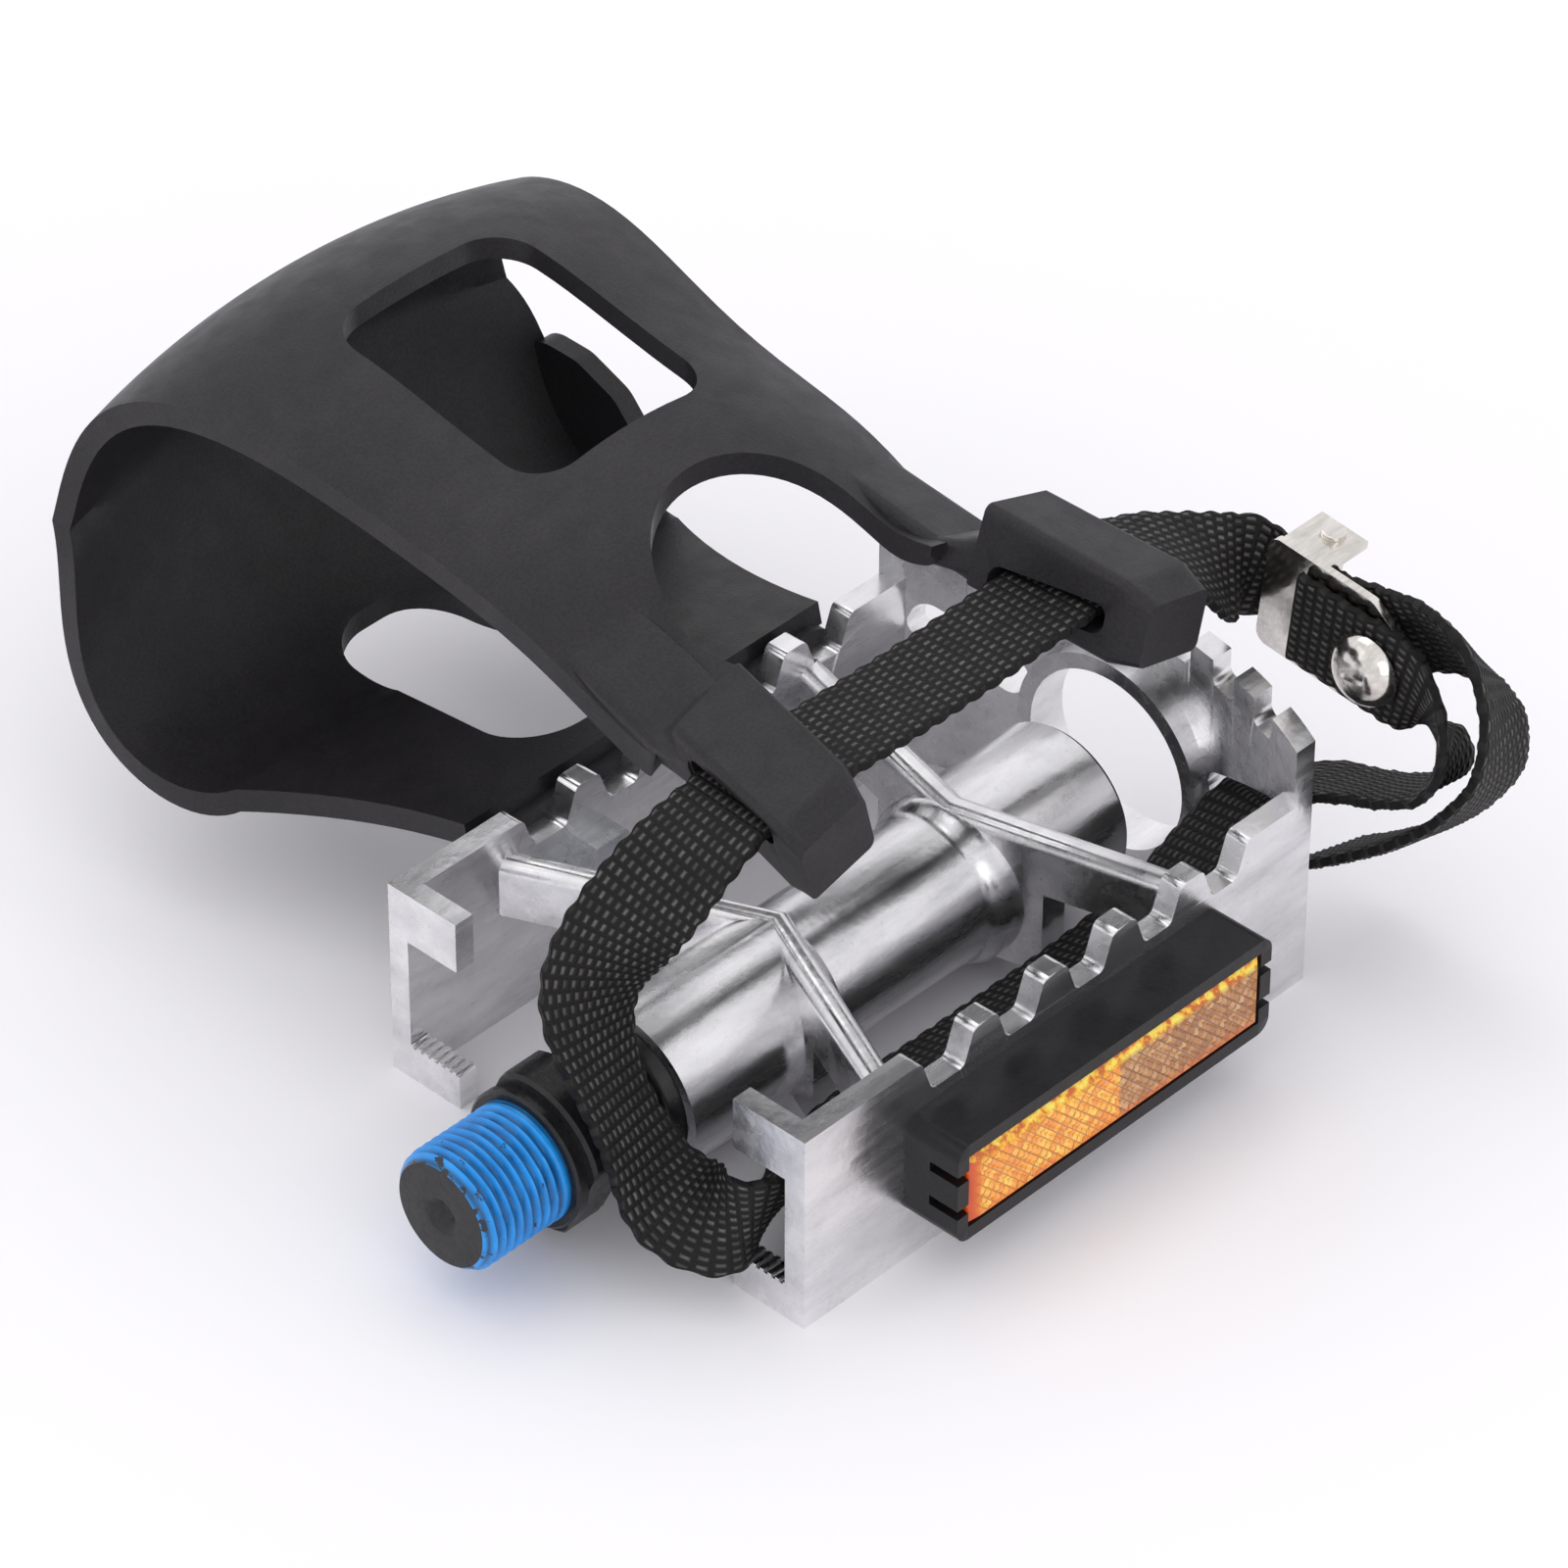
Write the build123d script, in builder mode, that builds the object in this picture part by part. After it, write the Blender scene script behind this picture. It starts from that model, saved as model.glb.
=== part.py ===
"""A right-hand bicycle pedal with a moulded toe clip, a webbing strap and a rear reflector.

The origin is on the spindle axis, at the shoulder that seats against the crank arm.
+X runs outboard along the spindle, +Y points forward to the toe and +Z is up. Millimetres.
"""

import os
from math import cos, radians, sin

from build123d import *

# Clearances
seat_gap = 0.02  # radial room of a pressed or threaded seat
running_gap = 0.05  # room of a ball against its race
seal_gap = 0.3  # room of a turning piece beside a still one
slip_gap = 0.2  # room of a screw or pin in its hole

# Spindle
thread_r = 7.144  # 9/16 inch pedal thread
thread_length = 12.0
thread_chamfer = 0.8
shoulder_r = 8.2
shoulder_length = 1.5
flats_r = 9.6
flats_length = 5.5
flats_across = 15.0
flats_turn = 25.0
neck_r = 6.6
dimple_r = 2.2
dimple_depth = 1.2
stub_r = 3.2  # outboard end, threaded for the cone and its nut
shaft_r = 5.0
shaft_end_r = 4.0

# Bearings
ball_d = 3.175
inboard_x = 20.0  # ball row planes along the spindle
outboard_x = 71.2
inboard_race_r = 4.7
outboard_race_r = 4.0
inboard_ball_count = 11
outboard_ball_count = 10
race_side = 0.2  # side room of a ball at its shoulder
cup_wall = 1.0
cup_length = 5.8
cup_mouth_wall = 0.8
cone_flange_r = 5.4
cone_length = 6.0
washer_thickness = 1.0
washer_r = 5.4
nut_across = 10.0
nut_height = 3.8
stub_proud = 0.8
seal_length = 3.2
seal_nose_r = 7.9
cap_thickness = 1.2
cap_skirt = 1.6
cap_dome = 1.6

# Cage casting
barrel_x0 = 15.4
barrel_x1 = 83.2
barrel_in_r = 10.2
barrel_mid_r = 8.8
barrel_out_r = 10.0
barrel_step_in = 37.5
barrel_step_out = 64.0
barrel_step_length = 2.0
barrel_lip = 0.5
cage_half_width = 30.5
plate_thickness = 2.8
cage_x0 = 10.5
cage_top = 14.0
cage_bottom = -11.4
plate_x1 = 89.6
flat_x1 = 28.0
tooth_pitch = 10.8
tooth_first_x = 37.8
tooth_count = 4
tooth_depth = 4.4
tooth_top = 3.4
tooth_base = 6.6
end_rise_x = 79.0
tooth_round = 1.0
tongue_reach = 10.2
tongue_thickness = 2.6
tongue_upper = 6.5
tongue_lower = 4.7
groove_count = 7
groove_pitch = 1.1
groove_depth = 0.35
rib_thickness = 3.6
rib_top = 10.4
rib_round = 1.5
rib_bottom = 3.2  # the strap runs below this
rib_root_bottom = -7.6
rib_root_reach = 12.2
rib_in_root_x = 38.4
rib_in_foot_x = 24.7
rib_out_root_x = 65.8
rib_out_foot_x = 73.5
wall_bow = 7.4  # the outboard wall stands out this far at its middle
wall_thickness = 3.0
wall_top = 21.6
wall_tooth_pitch = 7.6
wall_tooth_depth = 3.2
wall_tooth_count = 8
ring_r = 11.2
ring_lip_r = 13.2
ring_z = 1.8
ring_depth = 3.2
slot_y = 20.4
slot_z = 6.6
slot_width = 14.6
slot_height = 5.0
slot_tilt = 22.0

# Reflector on the rear plate
reflector_x = 50.1
reflector_z = 1.5
housing_length = 49.2
housing_depth = 7.6
housing_height = 13.0
housing_wall = 1.7
housing_floor = 2.2
housing_corner = 1.8
lens_gap = 0.15
lens_proud = 0.5
lens_bevel = 1.0
end_slot_count = 2
end_slot_width = 1.2
end_slot_pitch = 4.6
end_slot_depth = 4.0
reflector_screw_pitch = 26.0
reflector_screw_r = 2.0
reflector_head_r = 3.6
reflector_head_height = 2.4
reflector_screw_bite = 1.6

# Toe clip
clip_x = 51.0
clip_thickness = 2.8
flange_half_length = 28.0
flange_thickness = 3.0
flange_top = 11.6
flange_bottom = -3.5
flange_round = 3.0
bolt_pitch = 26.0
bolt_z = 3.6
bolt_r = 2.5
bolt_head_across = 8.0
bolt_head_height = 3.5
bolt_proud = 1.0
clip_washer_r = 5.0
clip_washer_thickness = 1.0
clip_nut_height = 4.0
window_length = 33.0
window_width = 27.0
window_y = 50.3
window_round = 5.5
parting_z = 25.6  # the openings of the top are cut from here up, and the sole's below
fork_r = 14.5  # round end of the opening between the two arms
fork_y = 10.5
sole_window_y0 = 37.0
sole_window_y1 = 75.0
sole_window_rear = 13.0
sole_window_front = 8.0
side_wall_x = 85.8
side_wall_thickness = 2.6
loop_slot_y = -9.6
loop_slot_z = 40.6
loop_slot_length = 14.0
loop_slot_height = 3.4

# Strap
strap_width = 12.0
strap_thickness = 1.6
strap_lift = 0.1  # between the riveted end and the buckle

# Buckle, a bent sheet that stands upright outboard of the cage
buckle_x = 100.0  # face that the strap is riveted to
buckle_y = -13.6
buckle_z = 27.8
buckle_tilt = 6.0
buckle_length = 20.6
buckle_height = 14.8
buckle_sheet = 1.0
buckle_tail = 6.0
buckle_round = 1.6
cheek_start = 1.2
cheek_length = 6.6
cheek_reach = 6.2
roller_r = 1.6
roller_pin_r = 0.8
roller_gap = 0.25
roller_along = 4.5
roller_stand = 4.2
pin_head_r = 1.4
pin_head_height = 0.6
rivet_along = 16.4
rivet_r = 1.7
rivet_dome_r = 4.4
rivet_dome_height = 2.8
rivet_tail_r = 3.2
rivet_tail_height = 0.9

# The middle line of the clip's outer face, from the bolted end round the toe to the arms:
# forward, up, heading in degrees from +Y to +Z, half width, and how far the edges fall away.
clip_stations = [
    (cage_half_width + 1, 10.8, -13.0, 27.5, 0.05),
    (48.0, 6.9, -13.0, 30.0, 0.05),
    (60.0, 4.0, -13.0, 34.5, 0.05),
    (71.0, 2.2, 0.0, 37.5, 0.4),
    (83.0, 7.0, 38.0, 37.6, 2.4),
    (91.0, 16.5, 68.0, 36.2, 5.4),
    (94.6, 28.0, 91.0, 33.6, 5.0),
    (92.0, 39.0, 114.0, 31.4, 4.4),
    (85.5, 47.5, 136.0, 30.2, 4.0),
    (76.0, 53.2, 160.0, 29.6, 4.5),
    (65.0, 55.2, 179.0, 28.8, 5.0),
    (50.0, 53.6, 186.0, 26.9, 5.6),
    (33.0, 51.2, 190.0, 25.7, 6.6),
    (18.0, 48.0, 193.0, 25.6, 7.2),
    (3.0, 45.0, 190.0, 26.4, 7.6),
]

clip_spans = [(0, 2), (2, 6), (6, 14)]  # first and last station of the sole, the toe and the top

# Each strap loop is a block that stands on an arm: (outward from the clip's middle, forward, up,
# roll in degrees, width, height) of its section, from the arm back to the rear end.
arm_stations = [
    (20.0, 19.0, 42.0, 22.0, 10.2, 2.4),
    (21.0, 5.0, 38.7, 21.0, 10.6, 3.2),
    (22.4, -2.2, 40.0, 19.0, 10.8, 6.8),
]
block_stations = [
    (22.3, -0.4, 41.8, 19.0, 10.8, 9.8),
    (25.0, -17.6, 39.4, 15.0, 10.8, 9.8),
    (25.7, -21.0, 38.6, 14.0, 9.6, 7.4),
]
loop_round = 1.0
side_wall_round = 4.0

# The side wall that the clip has on its outboard side, as (forward, up)
side_wall_outline = [(64, 3.0), (67, 13.5), (71, 18.0), (77, 20.4), (86, 20.6), (84, 9.0), (75, 3.4)]

# The strap's middle line from the riveted end to the free end, and the way its width lies
strap_route = [
    ((99.1, -19.0, 27.2), (0, -0.1, 1)),
    ((99.1, -27.0, 26.4), (0, -0.1, 1)),
    ((99.1, -34.4, 25.6), (0, -0.1, 1)),
    ((99.0, -38.4, 24.0), (-0.4, -0.25, 0.87)),
    ((99.0, -40.8, 20.4), (-0.75, -0.35, 0.55)),
    ((99.0, -40.0, 15.8), (-0.9, -0.25, 0.38)),
    ((98.8, -36.0, 12.6), (-0.9, -0.3, 0.36)),
    ((98.2, -30.6, 10.4), (-0.78, -0.5, 0.42)),
    ((97.2, -24.6, 8.2), (-0.5, -0.75, 0.36)),
    ((93.2, -20.2, 6.6), (-0.1, -0.92, 0.36)),
    ((88.0, -19.6, 4.4), (0, -0.93, 0.36)),
    ((80.0, -19.4, 1.0), (0, -0.94, 0.33)),
    ((70.0, -19.2, -1.2), (0, -0.95, 0.31)),
    ((50.0, -19.2, -1.6), (0, -0.95, 0.31)),
    ((30.0, -19.4, -1.4), (0, -0.94, 0.33)),
    ((21.0, -21.2, -1.0), (0, -0.85, 0.52)),
    ((14.5, -23.2, -0.7), (0, -0.5, 0.87)),
    ((10.6, -23.8, -0.2), (-0.03, -0.15, 0.99)),
    ((7.9, -23.5, -1.0), (0.06, -0.06, 1)),
    ((7.2, -19.6, -0.9), (0.48, 0.24, 0.84)),
    ((6.6, -15.8, -0.9), (0.9, 0.02, 0.43)),
    ((6.3, -13, 1.3), (0.99, 0.1, -0.05)),
    ((6.2, -10, 6), (0.94, 0.21, -0.29)),
    ((6.2, -6.3, 11), (0.94, 0.16, -0.3)),
    ((6.6, -3.6, 16), (0.96, -0.03, -0.27)),
    ((7.2, -2.9, 21.2), (0.89, -0.4, -0.23)),
    ((8.5, -4.8, 26.8), (0.67, -0.68, -0.29)),
    ((11.3, -7.5, 32.6), (0.36, -0.89, -0.26)),
    ((15.4, -9, 37.4), (0.1, -0.99, -0.13)),
    ((21.0, -9.5, 40.1), (0, -1, 0)),
    ((31.0, -9.6, 40.7), (0, -1, 0)),
    ((51.0, -9.4, 40.2), (0, -1, 0)),
    ((71.0, -9.4, 40.7), (0, -1, 0)),
    ((81.5, -9.5, 40.3), (0, -1, 0)),
    ((87.0, -10.2, 37.6), (0, -0.93, -0.36)),
    ((92.0, -10.9, 34.2), (0, -0.75, -0.66)),
    ((96.6, -11.2, 31.0), (0, -0.45, -0.9)),
    ((100.6, -11.3, 28.7), (0, -0.1, -1)),
    ((102.8, -14.0, 27.7), (0, 0.1, -1)),
    ((102.6, -22.6, 26.9), (0, 0.1, -1)),
    ((103.4, -28.6, 28.0), (0.15, 0, -1)),
    ((104.0, -35.0, 29.8), (0.4, 0, -0.9)),
    ((103.0, -41.4, 30.0), (0.62, 0.05, -0.78)),
    ((101.8, -45.6, 26.0), (0.75, 0.15, -0.62)),
    ((101.2, -46.0, 19.4), (0.82, 0.2, -0.5)),
    ((101.0, -42.6, 12.6), (0.88, 0.18, -0.4)),
    ((100.8, -37.0, 6.2), (0.92, 0.12, -0.35)),
    ((100.8, -30.4, 0.6), (0.95, 0.05, -0.3)),
    ((100.8, -24.6, -3.6), (0.96, 0, -0.25)),
]

os.makedirs("parts", exist_ok=True)


def save(piece, name):
    """Label a finished piece and write it under its own name."""
    piece.part.label = name
    export_step(piece.part, f"parts/{name}.step")


# Places that follow from the sizes above
ball_r = ball_d / 2
inboard_pitch_r = inboard_race_r + ball_r + running_gap
outboard_pitch_r = outboard_race_r + ball_r + running_gap
inboard_cup_r = inboard_pitch_r + ball_r + running_gap
outboard_cup_r = outboard_pitch_r + ball_r + running_gap
inboard_bore_r = inboard_cup_r + cup_wall + seat_gap
outboard_bore_r = outboard_cup_r + cup_wall + seat_gap
middle_bore_r = shaft_r + cup_mouth_wall
ball_side = ball_r + race_side
race_x0 = inboard_x - ball_side
race_x1 = inboard_x + ball_side
cone_x0 = outboard_x - ball_side
cone_face = outboard_x + ball_side
cone_x1 = cone_x0 + cone_length
nut_x0 = cone_x1 + washer_thickness
stub_x1 = nut_x0 + nut_height + stub_proud
flats_x1 = shoulder_length + flats_length
inboard_seat = inboard_x + cup_length / 2
inboard_cup_x0 = inboard_seat - cup_length
outboard_seat = outboard_x - cup_length / 2
plate_y = cage_half_width - plate_thickness
wall_x1 = plate_x1 + wall_bow
wall_x0 = wall_x1 - wall_thickness
bolt_places = [(clip_x - bolt_pitch / 2, bolt_z), (clip_x + bolt_pitch / 2, bolt_z)]
screw_places = [
    (reflector_x - reflector_screw_pitch / 2, reflector_z),
    (reflector_x + reflector_screw_pitch / 2, reflector_z),
]

# Spindle: turned steel with two flats for a spanner and a pedal thread at its inboard end
with BuildPart() as spindle:
    with BuildSketch(Plane.XY):
        with BuildLine():
            Polyline(
                (-thread_length, 0),
                (-thread_length, thread_r - thread_chamfer),
                (-thread_length + thread_chamfer, thread_r),
                (0, thread_r),
                (0, shoulder_r),
                (shoulder_length, shoulder_r),
                (shoulder_length, flats_r),
                (flats_x1, flats_r),
                (flats_x1, neck_r),
                (race_x0, neck_r),
                (race_x0, inboard_race_r),
                (race_x1, inboard_race_r),
                (race_x1 + 1, shaft_r),
                (cone_x0 - 1, shaft_end_r),
                (cone_x0 - 1, stub_r),
                (stub_x1, stub_r),
                (stub_x1, 0),
                close=True,
            )
        make_face()
    revolve(axis=Axis.X)
    with BuildSketch(Plane.YZ.offset(shoulder_length)):
        Circle(flats_r + 1)
        with Locations(Rotation(0, 0, flats_turn)):
            Rectangle(flats_across, 2 * flats_r + 2, mode=Mode.SUBTRACT)
    extrude(amount=flats_length, mode=Mode.SUBTRACT)
    with Locations(Plane((-thread_length, 0, 0), z_dir=(-1, 0, 0))):
        CounterSinkHole(radius=0.4 * dimple_r, counter_sink_radius=dimple_r, depth=dimple_depth)
save(spindle, "spindle")

# Two rows of loose balls
with BuildPart() as inboard_balls:
    with Locations(Plane((inboard_x, 0, 0), x_dir=(0, 1, 0), z_dir=(1, 0, 0))):
        with PolarLocations(inboard_pitch_r, inboard_ball_count):
            Sphere(ball_r)
save(inboard_balls, "inboard_balls")

with BuildPart() as outboard_balls:
    with Locations(Plane((outboard_x, 0, 0), x_dir=(0, 1, 0), z_dir=(1, 0, 0))):
        with PolarLocations(outboard_pitch_r, outboard_ball_count):
            Sphere(ball_r)
save(outboard_balls, "outboard_balls")

# Bearing cups pressed into the barrel, each with a shoulder behind its balls
with BuildPart() as inboard_cup:
    with BuildSketch(Plane.XY):
        with BuildLine():
            Polyline(
                (inboard_cup_x0, inboard_cup_r),
                (inboard_cup_x0, inboard_cup_r + cup_wall),
                (inboard_seat, inboard_cup_r + cup_wall),
                (inboard_seat, middle_bore_r),
                (race_x1, middle_bore_r),
                (race_x1, inboard_cup_r),
                close=True,
            )
        make_face()
    revolve(axis=Axis.X)
save(inboard_cup, "inboard_cup")

with BuildPart() as outboard_cup:
    with BuildSketch(Plane.XY):
        with BuildLine():
            Polyline(
                (outboard_seat, middle_bore_r),
                (outboard_seat, outboard_cup_r + cup_wall),
                (outboard_seat + cup_length, outboard_cup_r + cup_wall),
                (outboard_seat + cup_length, outboard_cup_r),
                (cone_x0, outboard_cup_r),
                (cone_x0, middle_bore_r),
                close=True,
            )
        make_face()
    revolve(axis=Axis.X)
save(outboard_cup, "outboard_cup")

# Outboard cone with its flange, the washer and the lock nut
with BuildPart() as outboard_cone:
    with BuildSketch(Plane.XY):
        with BuildLine():
            Polyline(
                (cone_x0, stub_r + seat_gap),
                (cone_x0, outboard_race_r),
                (cone_face, outboard_race_r),
                (cone_face, cone_flange_r),
                (cone_x1, cone_flange_r),
                (cone_x1, stub_r + seat_gap),
                close=True,
            )
        make_face()
    revolve(axis=Axis.X)
save(outboard_cone, "outboard_cone")

with BuildPart() as lock_washer:
    with BuildSketch(Plane.YZ.offset(cone_x1)):
        Circle(washer_r)
        Circle(stub_r + seat_gap, mode=Mode.SUBTRACT)
    extrude(amount=washer_thickness)
save(lock_washer, "lock_washer")

with BuildPart() as lock_nut:
    with BuildSketch(Plane.YZ.offset(nut_x0)):
        RegularPolygon(nut_across / 2, 6, major_radius=False)
        Circle(stub_r + seat_gap, mode=Mode.SUBTRACT)
    extrude(amount=nut_height)
save(lock_nut, "lock_nut")

# Dust seal in the barrel's mouth, and the cap on its outboard end
with BuildPart() as dust_seal:
    with BuildSketch(Plane.XY):
        with BuildLine():
            Polyline(
                (inboard_cup_x0 - seal_length, neck_r + seal_gap),
                (inboard_cup_x0 - seal_length, seal_nose_r),
                (barrel_x0 + barrel_lip, inboard_bore_r - seat_gap),
                (inboard_cup_x0, inboard_bore_r - seat_gap),
                (inboard_cup_x0, neck_r + seal_gap),
                close=True,
            )
        make_face()
    revolve(axis=Axis.X)
save(dust_seal, "dust_seal")

with BuildPart() as dust_cap:
    with BuildSketch(Plane.XY):
        with BuildLine():
            Polyline(
                (barrel_x1, 0),
                (barrel_x1 + cap_dome, 0),
                (barrel_x1 + cap_dome, 0.4 * outboard_bore_r),
                (barrel_x1 + cap_thickness / 2, barrel_out_r - 0.5),
                (barrel_x1, barrel_out_r - 0.5),
                (barrel_x1, outboard_bore_r - seat_gap),
                (barrel_x1 - cap_skirt, outboard_bore_r - seat_gap),
                (barrel_x1 - cap_skirt, outboard_bore_r - cap_thickness),
                (barrel_x1, outboard_bore_r - cap_thickness),
                close=True,
            )
        make_face()
    revolve(axis=Axis.X)
save(dust_cap, "dust_cap")


def plate_outline():
    """Outline of one side plate in the XZ plane, with its row of teeth along the top."""
    valley = cage_top - tooth_depth
    slant = (tooth_base - tooth_top) / 2
    points = [(cage_x0, cage_bottom), (cage_x0, cage_top)]
    points += [(flat_x1, cage_top), (flat_x1 + slant, valley)]
    for i in range(tooth_count):
        x = tooth_first_x + i * tooth_pitch
        points += [(x - tooth_base / 2, valley), (x - tooth_top / 2, cage_top)]
        points += [(x + tooth_top / 2, cage_top), (x + tooth_base / 2, valley)]
    points += [(end_rise_x - slant, valley), (end_rise_x, cage_top)]
    points += [(plate_x1, cage_top), (plate_x1, cage_bottom)]
    return points


def rib_plan(root_x, foot_x, reach, side):
    """Plan of one arm from the spindle's middle line out to the given reach."""
    end_x = root_x + (foot_x - root_x) * reach / cage_half_width
    half = rib_thickness / 2
    return [
        (root_x - half, 0),
        (root_x + half, 0),
        (end_x + half, side * reach),
        (end_x - half, side * reach),
    ]


rib_runs = [(rib_in_root_x, rib_in_foot_x), (rib_out_root_x, rib_out_foot_x)]

# Cage: one aluminium casting of barrel, arms, toothed side plates and bowed outboard wall
with BuildPart() as cage:
    with BuildSketch(Plane.XZ.offset(plate_y)):
        with BuildLine():
            Polyline(*plate_outline(), close=True)
        make_face()
        fillet(vertices().filter_by_position(Axis.X, flat_x1 - 1, end_rise_x + 1), tooth_round)
    extrude(amount=plate_thickness)
    with Locations((cage_x0 + tongue_thickness / 2, -cage_half_width + tongue_reach / 2, 0)):
        with Locations((0, 0, cage_top - tongue_upper / 2)):
            Box(tongue_thickness, tongue_reach, tongue_upper)
        with Locations((0, 0, cage_bottom + tongue_lower / 2)):
            Box(tongue_thickness, tongue_reach, tongue_lower)
    with Locations((cage_x0 + tongue_thickness / 2, -plate_y, cage_bottom + tongue_lower)):
        for i in range(groove_count):
            with Locations((0, (i + 0.5) * groove_pitch, 0)):
                Box(
                    2 * tongue_thickness,
                    groove_pitch / 2,
                    2 * groove_depth,
                    mode=Mode.SUBTRACT,
                )
    mirror(about=Plane.XZ)
    with BuildSketch(Plane.XY):
        with BuildLine():
            Polyline(
                (barrel_x0, 0),
                (barrel_x0, barrel_in_r),
                (barrel_step_in, barrel_in_r),
                (barrel_step_in + barrel_step_length, barrel_mid_r),
                (barrel_step_out - barrel_step_length, barrel_mid_r),
                (barrel_step_out, barrel_out_r),
                (barrel_x1, barrel_out_r),
                (barrel_x1, 0),
                close=True,
            )
        make_face()
    revolve(axis=Axis.X)
    with BuildPart() as arms:
        with BuildSketch(Plane.XY.offset(rib_bottom)):
            for root_x, foot_x in rib_runs:
                for side in (-1, 1):
                    with BuildLine():
                        Polyline(*rib_plan(root_x, foot_x, plate_y + 1, side), close=True)
                    make_face()
        extrude(amount=rib_top - rib_bottom)
        fillet(edges().group_by(Axis.Z)[-1], rib_round)
    with BuildSketch(Plane.XY.offset(rib_root_bottom)):
        for root_x, foot_x in rib_runs:
            for side in (-1, 1):
                with BuildLine():
                    Polyline(*rib_plan(root_x, foot_x, rib_root_reach, side), close=True)
                make_face()
    extrude(amount=rib_bottom - rib_root_bottom)
    with BuildSketch(Plane.XY.offset(cage_bottom)):
        with BuildLine():
            ThreePointArc(
                (plate_x1, -cage_half_width), (wall_x1, 0), (plate_x1, cage_half_width)
            )
            Line((plate_x1, cage_half_width), (plate_x1 - wall_thickness, cage_half_width))
            ThreePointArc(
                (plate_x1 - wall_thickness, cage_half_width),
                (wall_x0, 0),
                (plate_x1 - wall_thickness, -cage_half_width),
            )
            Line((plate_x1 - wall_thickness, -cage_half_width), (plate_x1, -cage_half_width))
        make_face()
    extrude(amount=wall_top - cage_bottom)
    with BuildSketch(Plane.YZ.offset(plate_x1 - 2 * wall_thickness)):
        with Locations((0, wall_top)):
            with GridLocations(wall_tooth_pitch, 1, wall_tooth_count - 1, 1):
                RectangleRounded(wall_tooth_pitch / 2, 2 * wall_tooth_depth, tooth_round)
    extrude(amount=wall_bow + 3 * wall_thickness, mode=Mode.SUBTRACT)
    with BuildSketch(Plane.YZ.offset(wall_x0 - ring_depth)):
        with Locations((0, ring_z)):
            Circle(ring_lip_r)
    extrude(amount=wall_thickness / 2 + ring_depth)
    with BuildSketch(Plane.YZ.offset(barrel_x1)):
        with Locations((0, ring_z)):
            Circle(ring_r)
        for side in (-1, 1):
            with Locations(Location((side * slot_y, slot_z, 0), (0, 0, side * slot_tilt))):
                RectangleRounded(slot_width, slot_height, 0.4 * slot_height)
    extrude(amount=wall_x1 - barrel_x1 + 1, mode=Mode.SUBTRACT)
    with BuildSketch(Plane.XY):
        with BuildLine():
            Polyline(
                (barrel_x0 - 1, 0),
                (barrel_x0 - 1, inboard_bore_r),
                (inboard_seat, inboard_bore_r),
                (inboard_seat, middle_bore_r),
                (outboard_seat, middle_bore_r),
                (outboard_seat, outboard_bore_r),
                (barrel_x1 + 1, outboard_bore_r),
                (barrel_x1 + 1, 0),
                close=True,
            )
        make_face()
    revolve(axis=Axis.X, mode=Mode.SUBTRACT)
    with BuildSketch(Plane.XZ.offset(-cage_half_width - 1)):
        with Locations(*bolt_places):
            Circle(bolt_r + slip_gap)
    extrude(amount=plate_thickness + 2, mode=Mode.SUBTRACT)
    with BuildSketch(Plane.XZ.offset(plate_y - 1)):
        with Locations(*screw_places):
            Circle(reflector_screw_r + slip_gap)
    extrude(amount=plate_thickness + 2, mode=Mode.SUBTRACT)
save(cage, "cage")

# Reflector housing: a moulded tray, open to the rear, with slotted ends
with BuildPart() as reflector_housing:
    with BuildSketch(Plane.XZ.offset(cage_half_width)):
        with Locations((reflector_x, reflector_z)):
            RectangleRounded(housing_length, housing_height, housing_corner)
    extrude(amount=housing_depth)
    with BuildSketch(Plane.XZ.offset(cage_half_width + housing_floor)):
        with Locations((reflector_x, reflector_z)):
            Rectangle(housing_length - 2 * housing_wall, housing_height - 2 * housing_wall)
    extrude(amount=housing_depth, mode=Mode.SUBTRACT)
    with BuildSketch(Plane.XZ.offset(cage_half_width + housing_depth - end_slot_depth)):
        with Locations((reflector_x, reflector_z)):
            with GridLocations(housing_length, end_slot_pitch, 2, end_slot_count):
                Rectangle(3 * housing_wall, end_slot_width)
    extrude(amount=end_slot_depth, mode=Mode.SUBTRACT)
    with BuildSketch(Plane.XZ.offset(cage_half_width)):
        with Locations(*screw_places):
            Circle(reflector_screw_r + seat_gap)
    extrude(amount=reflector_screw_bite, mode=Mode.SUBTRACT)
save(reflector_housing, "reflector_housing")

with BuildPart() as reflector_lens:
    with BuildSketch(Plane.XZ.offset(cage_half_width + housing_floor)):
        with Locations((reflector_x, reflector_z)):
            Rectangle(
                housing_length - 2 * housing_wall - 2 * lens_gap,
                housing_height - 2 * housing_wall - 2 * lens_gap,
            )
    extrude(amount=housing_depth - housing_floor + lens_proud)
    chamfer(faces().sort_by(Axis.Y)[0].edges(), lens_bevel)
save(reflector_lens, "reflector_lens")

# Two screws from inside the cage hold the reflector
with BuildPart() as reflector_screws:
    with BuildSketch(Plane.XZ.offset(plate_y - reflector_head_height)):
        with Locations(*screw_places):
            Circle(reflector_head_r)
    extrude(amount=reflector_head_height)
    with BuildSketch(Plane.XZ.offset(plate_y)):
        with Locations(*screw_places):
            Circle(reflector_screw_r)
    extrude(amount=plate_thickness + reflector_screw_bite)
save(reflector_screws, "reflector_screws")


def loop_plane(station):
    """Where one section of a strap loop stands, square to the clip's length."""
    out, forward, up, roll = station[:4]
    lean = (cos(radians(roll)), 0, sin(radians(roll)))
    return Plane((clip_x - out, forward, up), x_dir=lean, z_dir=(0, -1, 0))


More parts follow.
